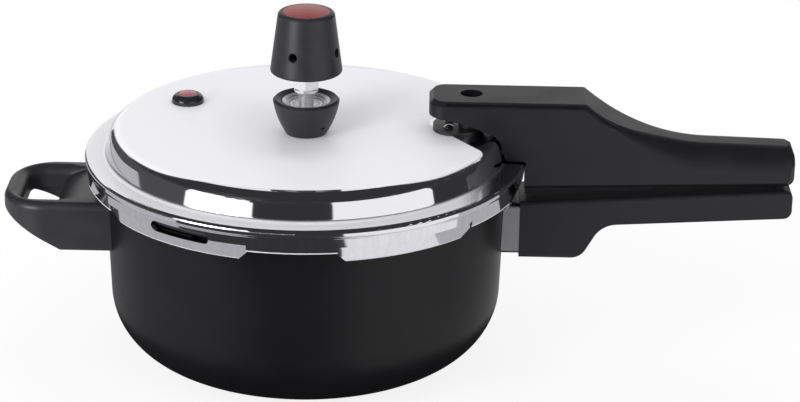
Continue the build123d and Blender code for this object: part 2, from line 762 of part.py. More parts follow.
def make_vent_stem():
    """Vent tube: threaded shank, hexagon that tapers below a groove, and the pin that guides the weight."""
    neck = dish_floor + dish_sheet + stem_neck_height
    groove = neck + stem_cone_height
    low = valve_seat - lid_sheet - vent_seal_thickness - vent_nut_height - stem_tail
    stem = Rot(0, 0, stem_hex_turn) * hexagon(stem_hex, neck, stem_rest)
    corner = stem_hex / sqrt(3)
    cone = Pos(0, 0, (neck + groove) / 2) * Cone(stem_cone_foot, corner, stem_cone_height)
    stem &= cone + rod(corner, groove, stem_rest)
    stem += rod(stem_radius, low, groove)
    ring = rod(stem_hex, groove, groove + stem_groove_height)
    stem -= ring - rod(stem_hex / 2 - stem_groove_depth, groove, groove + stem_groove_height)
    stem += rod(stem_pin_radius, stem_rest, stem_rest + stem_pin_length)
    stem = chamfer(stem.faces().sort_by(Axis.Z)[-1].edges(), stem_pin_bevel)
    return stem - rod(stem_bore_radius, low, stem_rest + stem_pin_length)


def make_vent_seal():
    """Rubber washer under the lid."""
    top = valve_seat - lid_sheet
    ring = rod(vent_seal_radius, top - vent_seal_thickness, top)
    return ring - rod(stem_radius + running_gap, top - vent_seal_thickness, top)


def make_vent_nut():
    """Nut that clamps the vent stem and its washer under the lid."""
    top = valve_seat - lid_sheet - vent_seal_thickness
    nut = hexagon(vent_nut_hex, top - vent_nut_height, top)
    return nut - rod(stem_radius + running_gap, top - vent_nut_height, top)


def weight_vents(radius, length):
    """Level holes round the weight, from the axis outwards."""
    holes = Part()
    height = weight_foot + weight_vent_height
    for i in range(weight_vent_count):
        angle = weight_vent_angle + i * 360 / weight_vent_count
        holes += Rot(0, 0, angle) * Pos(length / 2, 0, height) * Rot(0, 90, 0) * Cylinder(radius, length)
    return holes


def make_weight_cap():
    """Tapered cap of the weight, hollow for its core, with steam holes and a recess on top."""
    recess = weight_top - badge_depth
    core_top = weight_top - core_crown
    line = FilletPolyline(
        (badge_radius + seat_gap, weight_top), (weight_top_radius, weight_top),
        (weight_foot_radius, weight_foot), (weight_mouth_radius, weight_foot),
        radius=[min(weight_top_round, (badge_rim - seat_gap) * round_share), weight_foot_round],
    )
    inside = core_radius + running_gap
    rest = Polyline(
        (weight_mouth_radius, weight_foot), (inside, weight_foot + weight_mouth_depth), (inside, core_top),
        (0, core_top), (0, recess), (badge_radius + seat_gap, recess), (badge_radius + seat_gap, weight_top),
    )
    return turned(make_face([line, rest])) - weight_vents(weight_vent_radius, weight_foot_radius)


def make_weight_core():
    """Metal core that gives the weight its mass, bored to ride on the vent's pin."""
    top = weight_top - core_crown
    shelf = weight_foot + weight_mouth_depth
    vent = weight_foot + weight_vent_height
    groove = core_groove_height / 2
    bore = stem_pin_radius + running_gap
    bore_top = stem_rest + core_bore_depth
    core = turned(outline(
        (bore, stem_rest), (weight_neck_radius, stem_rest), (weight_neck_radius, shelf), (core_radius, shelf),
        (core_radius, vent - groove), (core_groove_radius, vent - groove), (core_groove_radius, vent + groove),
        (core_radius, vent + groove), (core_radius, top), (0, top), (0, bore_top), (bore, bore_top),
    ))
    return core - weight_vents(stem_bore_radius, core_radius)


def make_weight_badge():
    """Plain coloured disc in the top of the weight, slightly crowned."""
    low = weight_top - badge_depth
    crown = cap_arc(badge_radius, weight_top, badge_crown)
    rest = Polyline(crown @ 1, (0, low), (badge_radius, low), (badge_radius, weight_top))
    return turned(make_face([crown, rest]))


def safety_place():
    """Middle of the safety valve on the lid."""
    return safety_distance * cos(radians(safety_angle)), safety_distance * sin(radians(safety_angle))


def safety_spot():
    """Flat spot faced on the hollow lid for the safety valve."""
    return min(dome_height(safety_distance + way * safety_radius) for way in (-1, 1))


def make_safety_housing():
    """Moulded housing through the lid, bored for the plug."""
    spot = safety_spot()
    top = spot + safety_height
    floor = spot - safety_shank_drop
    step = top - safety_plug_depth
    mouth, bore = safety_plug_radius + seat_gap, safety_stem_radius + running_gap
    outer = FilletPolyline(
        (mouth, top), (safety_radius, top), (safety_radius, spot),
        radius=min(safety_round, (safety_radius - mouth) * round_share),
    )
    rest = Polyline(
        (safety_radius, spot), (safety_shank_radius, spot), (safety_shank_radius, floor), (bore, floor),
        (bore, step), (mouth, step), (mouth, top),
    )
    return Pos(*safety_place(), 0) * turned(make_face([outer, rest]))


def make_safety_plug():
    """Plug that rises when the pressure is too high, kept by a foot below the housing."""
    top = safety_spot() + safety_height
    step = top - safety_plug_depth
    foot_top = safety_spot() - safety_shank_drop - safety_travel - safety_stop_gap
    foot = foot_top - safety_foot_thickness
    crown = cap_arc(safety_plug_radius, top, safety_plug_crown)
    rest = Polyline(
        (safety_plug_radius, top), (safety_plug_radius, step), (safety_stem_radius, step),
        (safety_stem_radius, foot_top), (safety_foot_radius, foot_top), (safety_foot_radius, foot),
        (0, foot), crown @ 1,
    )
    return Pos(*safety_place(), 0) * turned(make_face([crown, rest]))


def make_safety_nut():
    """Nut that clamps the safety housing under the lid."""
    top = min(dome_height(safety_distance + way * safety_nut_hex) for way in (-1, 1)) - lid_sheet - seat_gap
    low = top - safety_nut_height
    x, y = safety_place()
    return hexagon(safety_nut_hex, low, top, x, y) - rod(safety_shank_radius + running_gap, low, top, x, y)


pot_body = make_pot_body()
lid_shell = make_lid_shell()
nodes = {
    "pot_body": pot_body,
    "pot_handle": make_pot_handle(),
    "pot_handle_collar": make_collar(),
    "pot_handle_bracket": make_wall_bracket(0, tongue_end, pot_screw_x),
    "pot_handle_rivets": make_wall_rivets(0, pot_body),
    "pot_handle_screw": make_tongue_screw(0, pot_screw_x, block_floor),
    "helper_handle": make_helper_handle(),
    "helper_bracket": make_wall_bracket(180, helper_tongue_end, helper_screw_x),
    "helper_rivets": make_wall_rivets(180, pot_body),
    "helper_screw": make_tongue_screw(180, helper_screw_x, helper_floor),
    "lid_shell": lid_shell,
    "lid_gasket": make_lid_gasket(),
    "lid_handle": make_lid_handle(),
    "lid_bracket": make_lid_bracket(),
    "lid_bracket_rivets": make_lid_rivets(lid_shell),
    "lid_handle_screw": make_lid_screw(),
    "valve_cup": make_valve_cup(),
    "valve_dish": make_valve_dish(),
    "vent_stem": make_vent_stem(),
    "vent_seal": make_vent_seal(),
    "vent_nut": make_vent_nut(),
    "weight_cap": make_weight_cap(),
    "weight_core": make_weight_core(),
    "weight_badge": make_weight_badge(),
    "safety_housing": make_safety_housing(),
    "safety_plug": make_safety_plug(),
    "safety_nut": make_safety_nut(),
}

os.makedirs("parts", exist_ok=True)
for name, shape in nodes.items():
    solids = shape if isinstance(shape, list) else [shape]
    export_step(Compound([solid for item in solids for solid in item.solids()]), f"parts/{name}.step")
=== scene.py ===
import json
import math

import bmesh
import bpy
from mathutils import Matrix, Vector


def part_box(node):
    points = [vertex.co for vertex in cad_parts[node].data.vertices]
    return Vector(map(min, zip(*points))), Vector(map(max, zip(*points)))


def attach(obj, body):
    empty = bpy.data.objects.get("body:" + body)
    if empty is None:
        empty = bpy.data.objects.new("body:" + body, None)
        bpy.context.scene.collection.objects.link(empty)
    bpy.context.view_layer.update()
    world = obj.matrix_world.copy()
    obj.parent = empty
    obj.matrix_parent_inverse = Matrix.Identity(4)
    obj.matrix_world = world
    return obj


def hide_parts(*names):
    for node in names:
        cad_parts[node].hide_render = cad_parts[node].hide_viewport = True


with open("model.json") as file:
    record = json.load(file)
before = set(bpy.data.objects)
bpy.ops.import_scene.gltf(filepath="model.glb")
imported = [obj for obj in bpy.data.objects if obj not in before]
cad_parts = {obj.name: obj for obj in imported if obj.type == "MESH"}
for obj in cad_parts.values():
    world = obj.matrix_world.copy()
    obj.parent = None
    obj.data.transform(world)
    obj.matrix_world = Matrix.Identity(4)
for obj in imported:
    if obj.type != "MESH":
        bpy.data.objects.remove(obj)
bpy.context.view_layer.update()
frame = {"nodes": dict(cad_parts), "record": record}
scene = bpy.context.scene
scene.view_settings.view_transform = "Standard"


# Shader helpers

noise_span = (0.3, 0.7)         # most values of a noise texture lie in here
wide_span = (0.25, 0.75)
narrow_span = (0.35, 0.65)
rising = (0, 1)
falling = (1, 0)
rough_spread = (-0.03, 0.03)    # what a second texture adds to the roughness


def bare_material(name):
    """A material with no nodes yet, and its node tree."""
    material = bpy.data.materials.new(name)
    material.use_nodes = True
    material.node_tree.nodes.clear()
    return material, material.node_tree


def show(tree, shader, output="ShaderNodeOutputMaterial"):
    """Links a shader to the output of its tree."""
    tree.links.new(shader.outputs[0], tree.nodes.new(output).inputs["Surface"])


def new_material(name):
    """A material with a Principled shader on its output."""
    material, tree = bare_material(name)
    shader = tree.nodes.new("ShaderNodeBsdfPrincipled")
    show(tree, shader)
    return material, tree, shader


def set_inputs(node, **values):
    for name, value in values.items():
        node.inputs[name.replace("_", " ")].default_value = value


def put(tree, socket, value):
    """Links an output to a socket, or sets a number or a colour on it."""
    if isinstance(value, bpy.types.NodeSocket):
        tree.links.new(value, socket)
    elif isinstance(value, tuple):
        socket.default_value = (*value, 1)
    else:
        socket.default_value = value


def math_node(tree, operation, *values, clamp=False):
    node = tree.nodes.new("ShaderNodeMath")
    node.operation = operation
    node.use_clamp = clamp
    for socket, value in zip(node.inputs, values):
        put(tree, socket, value)
    return node.outputs[0]


def product(tree, first, *others):
    for other in others:
        first = math_node(tree, "MULTIPLY", first, other)
    return first


def map_range(tree, value, span, result, smooth=False):
    """A value that runs over a span, turned into one that runs over another."""
    node = tree.nodes.new("ShaderNodeMapRange")
    node.interpolation_type = "SMOOTHSTEP" if smooth else "LINEAR"
    tree.links.new(value, node.inputs["Value"])
    set_inputs(node, From_Min=span[0], From_Max=span[1], To_Min=result[0], To_Max=result[1])
    return node.outputs["Result"]


def object_point(tree, stretch=(1, 1, 1)):
    """The point on the piece in its own coordinates, in metres, stretched along the axes."""
    place = tree.nodes.new("ShaderNodeTexCoord")
    mapping = tree.nodes.new("ShaderNodeMapping")
    mapping.inputs["Scale"].default_value = stretch
    tree.links.new(place.outputs["Object"], mapping.inputs["Vector"])
    return mapping.outputs["Vector"]


def axes_of(tree, vector):
    """The X, Y and Z outputs of a vector."""
    node = tree.nodes.new("ShaderNodeSeparateXYZ")
    tree.links.new(vector, node.inputs[0])
    return node.outputs


def axis_distance(tree):
    """Distance of the point from the pot's axis, for turned and spun surfaces."""
    length = tree.nodes.new("ShaderNodeVectorMath")
    length.operation = "LENGTH"
    tree.links.new(object_point(tree, (1, 1, 0)), length.inputs[0])
    return length.outputs["Value"]


def noise(tree, vector, scale, detail, roughness=0.55):
    node = tree.nodes.new("ShaderNodeTexNoise")
    tree.links.new(vector, node.inputs["Vector"])
    set_inputs(node, Scale=scale, Detail=detail, Roughness=roughness)
    return node.outputs["Fac"]


def rings(tree, distance, scale):
    """Uneven lines at a spacing set by scale, along one distance."""
    node = tree.nodes.new("ShaderNodeTexNoise")
    node.noise_dimensions = "1D"
    tree.links.new(distance, node.inputs["W"])
    set_inputs(node, Scale=scale, Detail=3.0, Roughness=0.6)
    return node.outputs["Fac"]


def blend_colours(tree, factor, first, second):
    node = tree.nodes.new("ShaderNodeMix")
    node.data_type = "RGBA"
    factor_socket, first_socket, second_socket = node.inputs[0], node.inputs[6], node.inputs[7]
    put(tree, factor_socket, factor)
    put(tree, first_socket, first)
    put(tree, second_socket, second)
    return node.outputs[2]


def blend_values(tree, factor, first, second):
    node = tree.nodes.new("ShaderNodeMix")
    factor_socket, first_socket, second_socket = node.inputs[0], node.inputs[2], node.inputs[3]
    put(tree, factor_socket, factor)
    put(tree, first_socket, first)
    put(tree, second_socket, second)
    return node.outputs[0]


def laid_over(tree, blend, base, zones, values):
    """A base with each zone's own value or colour laid over it, where the zone has one."""
    for zone, share in zones.items():
        if zone in values:
            base = blend(tree, share, base, values[zone])
    return base


def uneven(tree, texture, rough, second, span=noise_span):
    """Roughness that follows one texture between two values, with a little of a second one."""
    return math_node(tree, "ADD", map_range(tree, texture, span, rough),
                     map_range(tree, second, noise_span, rough_spread))


def bump(tree, height, strength, distance, below=None):
    node = tree.nodes.new("ShaderNodeBump")
    set_inputs(node, Strength=strength, Distance=distance)
    tree.links.new(height, node.inputs["Height"])
    if below is not None:
        tree.links.new(below, node.inputs["Normal"])
    return node.outputs["Normal"]


def dress(tree, shader, colour, rough, normal):
    """Links the textures of a surface to its shader."""
    tree.links.new(colour, shader.inputs["Base Color"])
    tree.links.new(rough, shader.inputs["Roughness"])
    tree.links.new(normal, shader.inputs["Normal"])


# Materials: each takes its darkest and lightest colour and its least and greatest roughness

def moulded(name, dark, light, rough, specular, grain=1400.0, patches=45.0):
    """Black moulded resin: a fine grain, faint flow marks, and patches a little duller than others."""
    material, tree, shader = new_material(name)
    flow = noise(tree, object_point(tree, (1, 1.6, 2.4)), scale=patches, detail=4.0)
    fine = noise(tree, object_point(tree), scale=grain, detail=2.0)
    colour = blend_colours(tree, map_range(tree, flow, noise_span, rising), dark, light)
    waves = bump(tree, flow, strength=0.05, distance=0.0006)
    normal = bump(tree, fine, strength=0.10, distance=0.00008, below=waves)
    dress(tree, shader, colour, uneven(tree, flow, rough, fine, wide_span), normal)
    shader.inputs["Specular IOR Level"].default_value = specular
    return material


def anodised(name, dark, light, rough, specular):
    """Hard-anodised pot wall: satin black with faint spinning lines round it."""
    material, tree, shader = new_material(name)
    point = object_point(tree)
    along = math_node(tree, "SUBTRACT", axis_distance(tree), axes_of(tree, point)["Z"])
    spin = rings(tree, along, scale=900.0)
    fine = noise(tree, point, scale=2600.0, detail=2.0)
    cloud = noise(tree, point, scale=26.0, detail=4.0)
    colour = blend_colours(tree, map_range(tree, cloud, noise_span, rising), dark, light)
    lines = bump(tree, spin, strength=0.05, distance=0.00012)
    normal = bump(tree, fine, strength=0.12, distance=0.00005, below=lines)
    dress(tree, shader, colour, uneven(tree, cloud, rough, spin), normal)
    shader.inputs["Specular IOR Level"].default_value = specular
    return material


def brushed(name, dark, light, rough, stretch, scale, shaded_top=None):
    """Plain metal with fine lines: stretch is small along them, and the colour given last, if any, is painted
    shade on level faces.
    """
    material, tree, shader = new_material(name)
    lines = noise(tree, object_point(tree, stretch), scale, detail=3.0, roughness=0.7)
    cloud = noise(tree, object_point(tree), scale=120.0, detail=3.0)
    colour = blend_colours(tree, map_range(tree, lines, noise_span, rising), dark, light)
    # level faces take the painted shade colour, standing in for the shade that falls on them from above
    if shaded_top:
        facing = axes_of(tree, tree.nodes.new("ShaderNodeNewGeometry").outputs["Normal"])
        level = map_range(tree, facing["Z"], (0.3, 0.6), rising, smooth=True)
        colour = blend_colours(tree, level, colour, shaded_top)
    normal = bump(tree, lines, strength=0.12, distance=0.00006)
    dress(tree, shader, colour, uneven(tree, lines, rough, cloud), normal)
    shader.inputs["Metallic"].default_value = 1.0
    return material


def turned(name, dark, light, rough, metal, scale=2600.0):
    """Bright turned metal with tool lines round the upright axis."""
    material, tree, shader = new_material(name)
    point = object_point(tree)
    along = math_node(tree, "ADD", axis_distance(tree), axes_of(tree, point)["Z"])
    lines = rings(tree, along, scale)
    cloud = noise(tree, point, scale=260.0, detail=3.0)
    colour = blend_colours(tree, map_range(tree, lines, noise_span, rising), dark, light)
    normal = bump(tree, lines, strength=0.15, distance=0.00008)
    dress(tree, shader, colour, uneven(tree, lines, rough, cloud), normal)
    shader.inputs["Metallic"].default_value = metal
    return material


def mottled(name, dark, light, rough, patches, grain, strength, distance):
    """A smooth surface whose colour and gloss vary in soft patches, over a fine grain."""
    material, tree, shader = new_material(name)
    cloud = noise(tree, object_point(tree), scale=patches, detail=4.0)
    fine = noise(tree, object_point(tree), scale=grain, detail=2.0)
    colour = blend_colours(tree, map_range(tree, cloud, noise_span, rising), dark, light)
    normal = bump(tree, fine, strength, distance)
    dress(tree, shader, colour, map_range(tree, cloud, noise_span, rough), normal)
    return material, shader


def rubber(name, dark, light, rough):
    """Smooth moulded rubber with a bloom that is stronger in some places."""
    return mottled(name, dark, light, rough, patches=90.0, grain=1800.0, strength=0.08, distance=0.00006)[0]


def enamel(name, dark, light, rough, specular):
    """Slightly glossy red with an uneven, faintly mottled colour."""
    material, shader = mottled(
        name, dark, light, rough, patches=320.0, grain=2200.0, strength=0.06, distance=0.00005)
    shader.inputs["Specular IOR Level"].default_value = specular
    return material


# The lid's finish: each change between two zones has the place where it starts and the place where it ends

lid_low, lid_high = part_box("lid_shell")
lid_radius = lid_high[1]
hem = lid_low[2]
nose_line_y = 0.008             # the satin's edge below the nose is even about this line
nose_line_aside = (0.003, 0.063)    # as it goes aside from that line,
nose_line_x = (0.0643, 0.1046)      # it moves out along X
satin_aside = (0.018, 0.075)    # as the satin's round edge goes aside from the middle, along X,
satin_radius = (0.0937, 0.0997)     # its radius grows
satin_corner = 0.005            # rounds the corner where both edges meet
satin_edge = (-0.0006, 0.0006)
flange_inner = (lid_radius - 0.0114, lid_radius - 0.0102)
flange_outer = (lid_radius - 0.0026, lid_radius - 0.0017)
flange_top = (hem + 0.0189, hem + 0.0201)
flange_end = (0.078, 0.098)     # towards the long handle, along X
skirt_top = (hem + 0.0132, hem + 0.0139)
notch_radius = (lid_radius - 0.0016, lid_radius - 0.0014)
notch_top = (hem + 0.0061, hem + 0.0063)
hem_edge = (hem + 0.0004, hem + 0.0006)


def lid_zones(tree, point):
    """How much a point belongs to each of the lid's zones, in the order in which they lie over the satin."""
    radius = axis_distance(tree)
    axes = axes_of(tree, point)
    x, height = axes["X"], axes["Z"]
    aside = math_node(tree, "ABSOLUTE", math_node(tree, "SUBTRACT", axes["Y"], nose_line_y))
    past_nose = math_node(tree, "SUBTRACT", x, map_range(tree, aside, nose_line_aside, nose_line_x))
    round_edge = map_range(tree, math_node(tree, "ABSOLUTE", x), satin_aside, satin_radius, smooth=True)
    past_rim = math_node(tree, "SUBTRACT", radius, round_edge)
    past_satin = math_node(tree, "SMOOTH_MAX", past_nose, past_rim, satin_corner)
    notch = product(tree, map_range(tree, radius, notch_radius, rising),
                    map_range(tree, height, notch_top, falling))
    return {
        "mirror": map_range(tree, past_satin, satin_edge, rising, smooth=True),
        "flange": product(tree, map_range(tree, radius, flange_inner, rising, smooth=True),
                          map_range(tree, radius, flange_outer, falling, smooth=True),
                          map_range(tree, height, flange_top, falling, smooth=True),
                          map_range(tree, x, flange_end, falling, smooth=True)),
        "skirt": map_range(tree, height, skirt_top, falling, smooth=True),
        "cut": math_node(tree, "MAXIMUM", notch, map_range(tree, height, hem_edge, falling)),
    }


def polished_lid(name):
    """Pressed aluminium: satin top, mirror shoulder and nose seat, duller flange and skirt, raw cut edges."""
    material, tree, shader = new_material(name)
    point = object_point(tree)
    zones = lid_zones(tree, point)
    spin = rings(tree, axis_distance(tree), scale=1500.0)
    cloud = noise(tree, point, scale=14.0, detail=4.0)
    streak = noise(tree, object_point(tree, (1, 1, 0.12)), scale=420.0, detail=4.0, roughness=0.65)

    tone = math_node(tree, "ADD", map_range(tree, cloud, noise_span, (0.2, 0.8)),
                     map_range(tree, spin, noise_span, (-0.2, 0.2)), clamp=True)
    satin = blend_colours(tree, tone, (0.808, 0.803, 0.838), (0.836, 0.831, 0.866))
    streaks = map_range(tree, streak, narrow_span, rising)
    worn = blend_colours(tree, streaks, (0.67, 0.667, 0.695), (0.73, 0.725, 0.76))
    colours = {"mirror": (0.770, 0.765, 0.800), "skirt": worn, "cut": (0.66, 0.655, 0.685)}
    colour = laid_over(tree, blend_colours, satin, zones, colours)

    metals = {"mirror": 1.0, "flange": 0.20, "skirt": 1.0, "cut": 0.25}
    metal = laid_over(tree, blend_values, 0.10, zones, metals)
    tree.links.new(metal, shader.inputs["Metallic"])

    worn_rough = map_range(tree, streak, noise_span, (0.04, 0.08))
    roughs = {"mirror": 0.05, "flange": 0.40, "skirt": worn_rough, "cut": 0.55}
    rough = laid_over(tree, blend_values, 0.50, zones, roughs)
    rough = math_node(tree, "ADD", rough, map_range(tree, cloud, noise_span, (-0.012, 0.015)), clamp=True)
    dress(tree, shader, colour, rough, bump(tree, spin, strength=0.02, distance=0.00004))
    return material


# Finishes for the record's slots, and for the pieces that differ from the rest of their slot

finishes = {
    "pot_black": anodised(
        "pot_anodised", (0.0050, 0.0049, 0.0060), (0.0072, 0.0070, 0.0085), (0.40, 0.47), specular=0.20),
    "lid_polish": polished_lid("lid_polished"),
    "bakelite": moulded(
        "bakelite_black", (0.0078, 0.0075, 0.0100), (0.0106, 0.0102, 0.0132), (0.38, 0.46), specular=0.30),
    # the collar's level top gets painted shade, for the shade under the long handle
    "collar_metal": brushed(
        "collar_sheet", (0.20, 0.198, 0.209), (0.255, 0.253, 0.265), (0.34, 0.44),
        stretch=(6.0, 6.0, 0.5), scale=900.0, shaded_top=(0.035, 0.035, 0.037)),
    "steel": brushed(
        "zinc_steel", (0.48, 0.48, 0.49), (0.60, 0.60, 0.61), (0.28, 0.38),
        stretch=(1.0, 1.0, 3.0), scale=1500.0),
    # black coating on the bracket under the handle's nose, also kept this dark as painted shade for the shade
    # under the nose
    "black_steel": rubber(
        "bracket_coating_and_shade", (0.012, 0.012, 0.014), (0.018, 0.018, 0.020), (0.34, 0.46)),
    "rivet_metal": brushed(
        "rivet_plain", (0.66, 0.66, 0.67), (0.76, 0.76, 0.77), (0.16, 0.24),
        stretch=(2.0, 2.0, 2.0), scale=1500.0),
    "seal_rubber": rubber(
        "seal_rubber", (0.022, 0.022, 0.023), (0.032, 0.032, 0.034), (0.50, 0.62)),
    "cup_black": moulded(
        "cup_resin", (0.014, 0.0135, 0.0175), (0.020, 0.0195, 0.0245), (0.38, 0.46),
        specular=0.45, grain=1800.0, patches=160.0),
    "weight_black": moulded(
        "weight_resin", (0.018, 0.0175, 0.0225), (0.025, 0.0245, 0.0305), (0.34, 0.42),
        specular=0.34, grain=1800.0, patches=140.0),
    "weight_metal": turned(
        "weight_turned", (0.40, 0.40, 0.41), (0.50, 0.50, 0.51), (0.28, 0.38), metal=1.0),
    "badge_red": enamel(
        "badge_enamel", (0.180, 0.012, 0.015), (0.255, 0.020, 0.024), (0.24, 0.32), specular=0.26),
    "safety_black": rubber(
        "safety_silicone", (0.012, 0.012, 0.013), (0.018, 0.018, 0.020), (0.12, 0.20)),
    "safety_red": enamel(
        "safety_red", (0.300, 0.075, 0.098), (0.385, 0.108, 0.135), (0.24, 0.34), specular=0.40),
}
own_finishes = {
    # the helper handle's bakelite is painted lighter than the other handles', as painted light for more light
    # from the left
    "helper_handle": moulded(
        "bakelite_helper_lit", (0.0150, 0.0145, 0.0175), (0.0215, 0.0210, 0.0250), (0.36, 0.44), specular=0.58),
    "vent_stem": turned(
        "stem_turned", (0.76, 0.76, 0.78), (0.86, 0.86, 0.88), (0.26, 0.36), metal=0.72),
    "valve_dish": turned(
        "dish_turned", (0.15, 0.15, 0.16), (0.98, 0.98, 1.0), (0.26, 0.42), metal=0.68, scale=560.0),
}
for part in frame["record"]["subparts"]:
    node = frame["nodes"][part["node"]]
    node.data.materials.clear()
    node.data.materials.append(own_finishes.get(part["node"]) or finishes[part["material_slot"]])


# Shapes cut from copies of the solids

weld_distance = 0.000002
cutter_room = 0.006         # the cutters stand outside the solid by this much
round_over = 0.00003        # and run out of its faces by this much
smooth_angle = math.radians(24)


def swept(name, sections):
    """A closed solid through sections with as many points each, to cut a copy with or to join to it."""
    count = len(sections[0])
    last = count * (len(sections) - 1)
    faces = [tuple(range(count)), tuple(range(last, last + count))]
    for first in range(0, last, count):
        for j in range(count):
            a, b = first + j, first + (j + 1) % count
            faces.append((a, b, b + count, a + count))
    mesh = bpy.data.meshes.new(name)
    mesh.from_pydata([point for section in sections for point in section], [], faces)
    shape = bmesh.new()
    shape.from_mesh(mesh)
    bmesh.ops.recalc_face_normals(shape, faces=shape.faces)
    shape.to_mesh(mesh)
    shape.free()
    tool = bpy.data.objects.new(name, mesh)
    scene.collection.objects.link(tool)
    return tool


def joined_copy(solid, name):
    """The solid's mesh, joined along its edges."""
    mesh = bpy.data.meshes.new(name)
    points = [vertex.co for vertex in solid.data.vertices]
    mesh.from_pydata(points, [], [tuple(face.vertices) for face in solid.data.polygons])
    shape = bmesh.new()
    shape.from_mesh(mesh)
    bmesh.ops.remove_doubles(shape, verts=shape.verts, dist=weld_distance)
    shape.to_mesh(mesh)
    shape.free()
    return mesh


def reshaped(name, mesh, steps, material):
    """The mesh joined with or cut by one tool after another, as a smooth piece."""
    piece = bpy.data.objects.new(name, mesh)
    scene.collection.objects.link(piece)
    for operation, tool in steps:
        step = piece.modifiers.new(tool.name, "BOOLEAN")
        step.operation = operation
        step.solver = "EXACT"
        step.object = tool
    bpy.context.view_layer.update()
    done = bpy.data.meshes.new_from_object(piece.evaluated_get(bpy.context.evaluated_depsgraph_get()))
    piece.modifiers.clear()
    piece.data = done
    for operation, tool in steps:
        bpy.data.objects.remove(tool)
    done.shade_smooth()
    done.set_sharp_from_angle(angle=smooth_angle)
    done.materials.clear()
    done.materials.append(material)
    weigh = piece.modifiers.new("weighted", "WEIGHTED_NORMAL")
    weigh.keep_sharp = True
    return piece


# The upper grip's rounded top

grip_round = 0.0125         # radius of the top edges along the grip
bevel_round = 0.0024        # radius that stays inside the solid's own bevel
grip_crown = 0.0024         # the middle of the rounded top stands this much above the solid's flat one
crown_depth = 0.005         # what lies within this of the flat top rises with it
round_start = 0.146         # where the rounding starts to grow, along X
round_full = 0.192          # where it is full
grip_stations = 48
grip_segments = 14
handle_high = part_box("lid_handle")[1]


def grown(x):
    """How far the rounding has grown at a place along the handle, from 0 to 1."""
    share = min(max((x - round_start) / (round_full - round_start), 0.0), 1.0)
    return share * share * (3 - 2 * share)


def flat_top(solid, x):
    """Height of the solid's top at a place along the handle."""
    last = handle_high[0] - bevel_round / 4
    start = Vector((min(x, last), bevel_round, handle_high[2] + cutter_room))
    return solid.ray_cast(start, Vector((0, 0, -1)))[1].z


def corner_cutter(solid, side):
    """What lies outside the rounding of one top edge of the grip, following the top."""
    half_width = handle_high[1]
    end = handle_high[0] + cutter_room
    sections = []
    for i in range(grip_stations + 1):
        x = round_start + (end - round_start) * i / grip_stations
        radius = bevel_round + (grip_round - bevel_round) * grown(x)
        top = flat_top(solid, x) + grip_crown * grown(x)
        centre_y, centre_z = half_width - radius, top - radius
        section = []
        for j in range(grip_segments + 1):
            angle = math.pi / 2 * (1 - j / grip_segments)
            section.append((centre_y + (radius + round_over) * math.cos(angle),
                            centre_z + (radius + round_over) * math.sin(angle)))
        section.append((half_width + cutter_room, centre_z))
        section.append((half_width + cutter_room, top + cutter_room))
        section.append((centre_y, top + cutter_room))
        sections.append([(x, side * y, z) for y, z in section])
    return swept("corner_cutter", sections)


def crowned_blank(solid):
    """A joined copy of the solid's mesh, with the top of the grip raised to the crown."""
    mesh = joined_copy(solid, "lid_handle_blank")
    for vertex in mesh.vertices:
        if vertex.co.x > round_start and vertex.co.z > flat_top(solid, vertex.co.x) - crown_depth:
            vertex.co.z += grip_crown * grown(vertex.co.x)
    return mesh


def rounded_grip():
    """The upper half of the long handle with the top of its grip rounded, in place of the solid."""
    solid = frame["nodes"]["lid_handle"]
    steps = [("DIFFERENCE", corner_cutter(solid, side)) for side in (-1, 1)]
    grip = reshaped("lid_handle_rounded", crowned_blank(solid), steps, finishes["bakelite"])
    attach(grip, "lid")
    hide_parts("lid_handle")


rounded_grip()


# The helper handle's dished web, rounded hole and hollow underside

hole_half_width = 0.021
hole_end = -0.148           # at the tip of the loop, along X
hole_corner = 0.008
hole_round = 0.0058         # of the hole's top edge
edge_share = 0.95           # the rounding takes this much of what the web has fallen, until it is full
dish_start = -0.108         # where the web starts to fall towards the hole, along X
dish_end = -0.1305          # where it ends, at the hole
dish_drop = 0.009
dish_spare = 0.0003         # what is joined to the web stands above the dish until it is cut
dish_run_out = 0.002        # the dish's cutter goes past the end of the web by this much
web_head = -0.1167          # places inside the solid's own web, along X
web_foot = -0.1248
web_foot_height = 0.068
lip_depth = 0.0115          # from the top to the underside of the lip round the hole
skirt_wall = 0.0035         # left round the hollow below the lip
web_overlap = skirt_wall / 4
hollow_end = -0.1235
loop_corner = 0.024         # of the solid's outline at its tip
dish_segments = 16
bend_segments = 10


def dish_depth(x):
    """How far the web has fallen below the top of the handle, along an arc that leaves it level."""
    run = dish_start - dish_end
    radius = (run * run + dish_drop * dish_drop) / (2 * dish_drop)
    return radius - math.sqrt(radius * radius - (dish_start - x) ** 2)


def dish_line(first, last, top):
    places = [first + (last - first) * i / dish_segments for i in range(dish_segments + 1)]
    return [(x, top - dish_depth(x)) for x in places]


def across(name, line, half_width):
    """A line in the upright plane of the handle's length, as a solid across the handle."""
    return swept(name, [[(x, side * half_width, z) for x, z in line] for side in (-1, 1)])


def loop_line(start, end, half_width, corner):
    """Round the loop's tip from one side to the other: places with the direction out of the loop's middle."""
    line = []
    for i in range(dish_segments):
        line.append((start + (end + corner - start) * i / dish_segments, half_width, 0, 1))
    for i in range(bend_segments + 1):
        angle = math.pi / 2 * (1 + i / bend_segments)
        out_x, out_y = math.cos(angle), math.sin(angle)
        line.append((end + corner * (1 + out_x), half_width + corner * (out_y - 1), out_x, out_y))
    return line + [(x, -y, out_x, -out_y) for x, y, out_x, out_y in reversed(line)]


